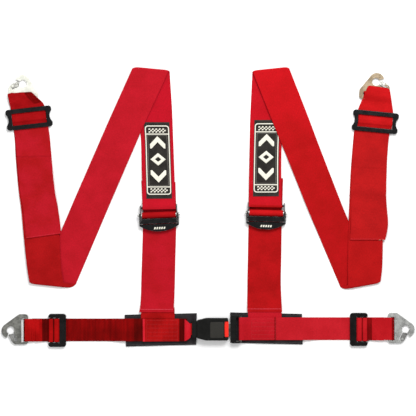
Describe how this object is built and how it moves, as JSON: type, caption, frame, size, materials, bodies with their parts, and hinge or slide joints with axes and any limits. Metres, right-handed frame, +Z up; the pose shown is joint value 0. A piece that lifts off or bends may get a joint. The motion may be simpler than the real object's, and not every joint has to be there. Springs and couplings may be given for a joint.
{
  "type": "racing harness",
  "caption": "Four-point racing harness: red webbing, push-button buckle, snap hooks, three-bar slides and lever adjusters, laid flat with the shoulder straps folded.",
  "frame": {"origin": "on the surface the harness lies on, under the middle of its plan", "axes": "+X along the lap belt towards the tongue's side, +Y from the lap belt to the shoulder hooks, +Z up off the surface"},
  "size_m": [0.9082, 0.6165, 0.019],
  "materials": {
    "shoulder_webbing": "ribbed polyester webbing, satin",
    "lap_webbing": "cross-ribbed polyester webbing, satin",
    "pad_fabric": "plain black woven cloth",
    "label_fabric": "black woven patch, cream thread",
    "black_plastic": "fine grained",
    "slide_black": "moulded, satin",
    "ejector_plastic": "plain",
    "red_button": "semi-gloss",
    "buckle_steel": "zinc plated",
    "hook_steel": "zinc plated, worn",
    "gate_steel": "dark spring steel",
    "adjuster_black": "black, semi-gloss, worn edges",
    "adjuster_steel": "plated"
  },
  "bodies": {
    "buckle": {"buckle_lower_cover": "black_plastic", "buckle_upper_cover": "black_plastic", "buckle_base_plate": "buckle_steel", "buckle_webbing_loop": "lap_webbing", "buckle_rivets": "buckle_steel", "latch_leaf": "buckle_steel", "button_springs": "buckle_steel", "ejector_spring": "buckle_steel"},
    "button": {"release_button": "red_button"},
    "ejector": {"ejector": "ejector_plastic"},
    "tongue": {"tongue_plate": "buckle_steel", "tongue_frame": "black_plastic"},
    "left_junction": {"left_junction_pad": "pad_fabric", "left_sewn_junction": "lap_webbing"},
    "left_lap": {"left_lap_strap": "lap_webbing"},
    "left_lap_slider": {"left_lap_slide": "slide_black"},
    "left_lap_hook": {"left_lap_hook_plate": "hook_steel", "left_lap_hook_rivet": "hook_steel", "left_lap_hook_spring": "gate_steel"},
    "left_lap_gate": {"left_lap_hook_gate": "gate_steel"},
    "left_lower": {"left_shoulder_lower_strap": "shoulder_webbing"},
    "left_front": {"left_adjuster_frame": "adjuster_black", "left_shoulder_front_strap": "shoulder_webbing", "left_label_patch": "label_fabric", "left_shoulder_strap_bight": "shoulder_webbing"},
    "left_lever": {"left_adjuster_lever": "adjuster_black", "left_adjuster_cam_bar": "adjuster_steel"},
    "left_diagonal": {"left_shoulder_diagonal_strap": "shoulder_webbing"},
    "left_outer": {"left_shoulder_outer_strap": "shoulder_webbing"},
    "left_shoulder_slider": {"left_shoulder_slide": "adjuster_black"},
    "left_shoulder_hook": {"left_shoulder_hook_plate": "hook_steel", "left_shoulder_hook_rivet": "hook_steel", "left_shoulder_hook_spring": "gate_steel"},
    "left_shoulder_gate": {"left_shoulder_hook_gate": "gate_steel"},
    "right_junction": {"right_junction_pad": "pad_fabric", "right_sewn_junction": "lap_webbing"},
    "right_lap": {"right_lap_strap": "lap_webbing"},
    "right_lap_slider": {"right_lap_slide": "slide_black"},
    "right_lap_hook": {"right_lap_hook_plate": "hook_steel", "right_lap_hook_rivet": "hook_steel", "right_lap_hook_spring": "gate_steel"},
    "right_lap_gate": {"right_lap_hook_gate": "gate_steel"},
    "right_lower": {"right_shoulder_lower_strap": "shoulder_webbing"},
    "right_front": {"right_adjuster_frame": "adjuster_black", "right_shoulder_front_strap": "shoulder_webbing", "right_label_patch": "label_fabric", "right_shoulder_strap_bight": "shoulder_webbing"},
    "right_lever": {"right_adjuster_lever": "adjuster_black", "right_adjuster_cam_bar": "adjuster_steel"},
    "right_diagonal": {"right_shoulder_diagonal_strap": "shoulder_webbing"},
    "right_outer": {"right_shoulder_outer_strap": "shoulder_webbing"},
    "right_shoulder_slider": {"right_shoulder_slide": "adjuster_black"},
    "right_shoulder_hook": {"right_shoulder_hook_plate": "hook_steel", "right_shoulder_hook_rivet": "hook_steel", "right_shoulder_hook_spring": "gate_steel"},
    "right_shoulder_gate": {"right_shoulder_hook_gate": "gate_steel"}
  },
  "joints": [
    {"name": "release_button_press", "type": "slide", "parent": "buckle", "child": "button", "axis": [-1, 0, 0], "range_m": [0, 0.006], "stiffness_N_per_m": 900, "springref_m": -0.004, "deforming": ["button_springs", "latch_leaf"]},
    {"name": "tongue_withdraw", "type": "slide", "parent": "buckle", "child": "tongue", "axis": [1, 0, 0], "range_m": [0, 0.05], "deforming": ["latch_leaf"]},
    {"name": "ejector_slide", "type": "slide", "parent": "buckle", "child": "ejector", "axis": [1, 0, 0], "range_m": [0, 0.0101], "deforming": ["ejector_spring"]},
    {"name": "left_junction_flex", "type": "hinge", "parent": "buckle", "child": "left_junction", "pos_m": [-0.0376, -0.2714, 0.0102], "axis": [0, 1, 0], "range_deg": [0, 10]},
    {"name": "left_lap_flex", "type": "hinge", "parent": "left_junction", "child": "left_lap", "pos_m": [-0.1848, -0.2714, 0.0062], "axis": [0, 1, 0], "range_deg": [0, 60]},
    {"name": "left_lap_slide_adjust", "type": "slide", "parent": "left_lap", "child": "left_lap_slider", "axis": [-1, 0, 0], "range_m": [-0.008, 0.008], "deforming": ["left_lap_strap"]},
    {"name": "left_lap_hook_swing", "type": "hinge", "parent": "left_lap", "child": "left_lap_hook", "pos_m": [-0.39895, -0.2719, 0.0034], "axis": [0, 1, 0], "range_deg": [0, 60], "deforming": ["left_lap_strap"]},
    {"name": "left_lap_gate_open", "type": "hinge", "parent": "left_lap_hook", "child": "left_lap_gate", "pos_m": [-0.4275, -0.2945, 0.0034], "axis": [0, 0, -1], "range_deg": [0, 20], "stiffness_Nm_per_rad": 0.05, "springref_deg": -14.32, "deforming": ["left_lap_hook_spring"]},
    {"name": "left_shoulder_flex", "type": "hinge", "parent": "left_junction", "child": "left_lower", "pos_m": [-0.1106, -0.246, 0.0046], "axis": [0.9999, -0.0122, 0], "range_deg": [0, 45]},
    {"name": "left_length_adjust", "type": "slide", "parent": "left_lower", "child": "left_front", "axis": [0.0122, 0.9999, 0], "range_m": [-0.04, 0.05]},
    {"name": "left_adjuster_lift", "type": "hinge", "parent": "left_front", "child": "left_lever", "pos_m": [-0.10809, -0.01851, 0.0086], "axis": [-0.9991, -0.0419, 0], "range_deg": [0, 50]},
    {"name": "left_top_fold_open", "type": "hinge", "parent": "left_front", "child": "left_diagonal", "pos_m": [-0.1233, 0.3026, 0.0037], "axis": [-0.9903, 0.1392, 0], "range_deg": [0, 90]},
    {"name": "left_lower_fold_open", "type": "hinge", "parent": "left_diagonal", "child": "left_outer", "pos_m": [-0.34, -0.174, 0.0037], "axis": [0.9903, -0.1392, 0], "range_deg": [0, 90]},
    {"name": "left_shoulder_slide_adjust", "type": "slide", "parent": "left_outer", "child": "left_shoulder_slider", "axis": [-0.0978, 0.9952, 0], "range_m": [-0.008, 0.008], "deforming": ["left_shoulder_outer_strap"]},
    {"name": "left_shoulder_hook_swing", "type": "hinge", "parent": "left_outer", "child": "left_shoulder_hook", "pos_m": [-0.40907, 0.23494, 0.0034], "axis": [0.9976, -0.0698, 0], "range_deg": [0, 60], "deforming": ["left_shoulder_outer_strap"]},
    {"name": "left_shoulder_gate_open", "type": "hinge", "parent": "left_shoulder_hook", "child": "left_shoulder_gate", "pos_m": [-0.42962, 0.26499, 0.0034], "axis": [0, 0, -1], "range_deg": [0, 20], "stiffness_Nm_per_rad": 0.05, "springref_deg": -14.32, "deforming": ["left_shoulder_hook_spring"]},
    {"name": "right_junction_flex", "type": "hinge", "parent": "tongue", "child": "right_junction", "pos_m": [0.072, -0.2687, 0.0098], "axis": [0, -1, 0], "range_deg": [0, 10], "deforming": ["right_sewn_junction"]},
    {"name": "right_lap_flex", "type": "hinge", "parent": "right_junction", "child": "right_lap", "pos_m": [0.2088, -0.2687, 0.0062], "axis": [0, -1, 0], "range_deg": [0, 60]},
    {"name": "right_lap_slide_adjust", "type": "slide", "parent": "right_lap", "child": "right_lap_slider", "axis": [1, 0, 0], "range_m": [-0.008, 0.008], "deforming": ["right_lap_strap"]},
    {"name": "right_lap_hook_swing", "type": "hinge", "parent": "right_lap", "child": "right_lap_hook", "pos_m": [0.39895, -0.2688, 0.0034], "axis": [0, -1, 0], "range_deg": [0, 60], "deforming": ["right_lap_strap"]},
    {"name": "right_lap_gate_open", "type": "hinge", "parent": "right_lap_hook", "child": "right_lap_gate", "pos_m": [0.4275, -0.2914, 0.0034], "axis": [0, 0, 1], "range_deg": [0, 20], "stiffness_Nm_per_rad": 0.05, "springref_deg": -14.32, "deforming": ["right_lap_hook_spring"]},
    {"name": "right_shoulder_flex", "type": "hinge", "parent": "right_junction", "child": "right_lower", "pos_m": [0.1244, -0.246, 0.0046], "axis": [1, -0.007, 0], "range_deg": [0, 45]},
    {"name": "right_length_adjust", "type": "slide", "parent": "right_lower", "child": "right_front", "axis": [0.007, 1, 0], "range_m": [-0.04, 0.05]},
    {"name": "right_adjuster_lift", "type": "hinge", "parent": "right_front", "child": "right_lever", "pos_m": [0.12778, -0.0141, 0.0086], "axis": [-0.9997, 0.0262, 0], "range_deg": [0, 50]},
    {"name": "right_top_fold_open", "type": "hinge", "parent": "right_front", "child": "right_diagonal", "pos_m": [0.1362, 0.3026, 0.0037], "axis": [-0.9903, -0.1392, 0], "range_deg": [0, 90]},
    {"name": "right_lower_fold_open", "type": "hinge", "parent": "right_diagonal", "child": "right_outer", "pos_m": [0.332, -0.174, 0.0037], "axis": [0.9903, 0.1392, 0], "range_deg": [0, 90]},
    {"name": "right_shoulder_slide_adjust", "type": "slide", "parent": "right_outer", "child": "right_shoulder_slider", "axis": [0.0735, 0.9973, 0], "range_m": [-0.008, 0.008], "deforming": ["right_shoulder_outer_strap"]},
    {"name": "right_shoulder_hook_swing", "type": "hinge", "parent": "right_outer", "child": "right_shoulder_hook", "pos_m": [0.36693, 0.23864, 0.0034], "axis": [0.9976, -0.0698, 0], "range_deg": [0, 60], "deforming": ["right_shoulder_outer_strap"]},
    {"name": "right_shoulder_gate_open", "type": "hinge", "parent": "right_shoulder_hook", "child": "right_shoulder_gate", "pos_m": [0.39147, 0.26554, 0.0034], "axis": [0, 0, 1], "range_deg": [0, 20], "stiffness_Nm_per_rad": 0.05, "springref_deg": -14.32, "deforming": ["right_shoulder_hook_spring"]}
  ],
  "couplings": [
    {"joint": "ejector_slide", "follows": "tongue_withdraw", "ratio": 0.2}
  ]
}
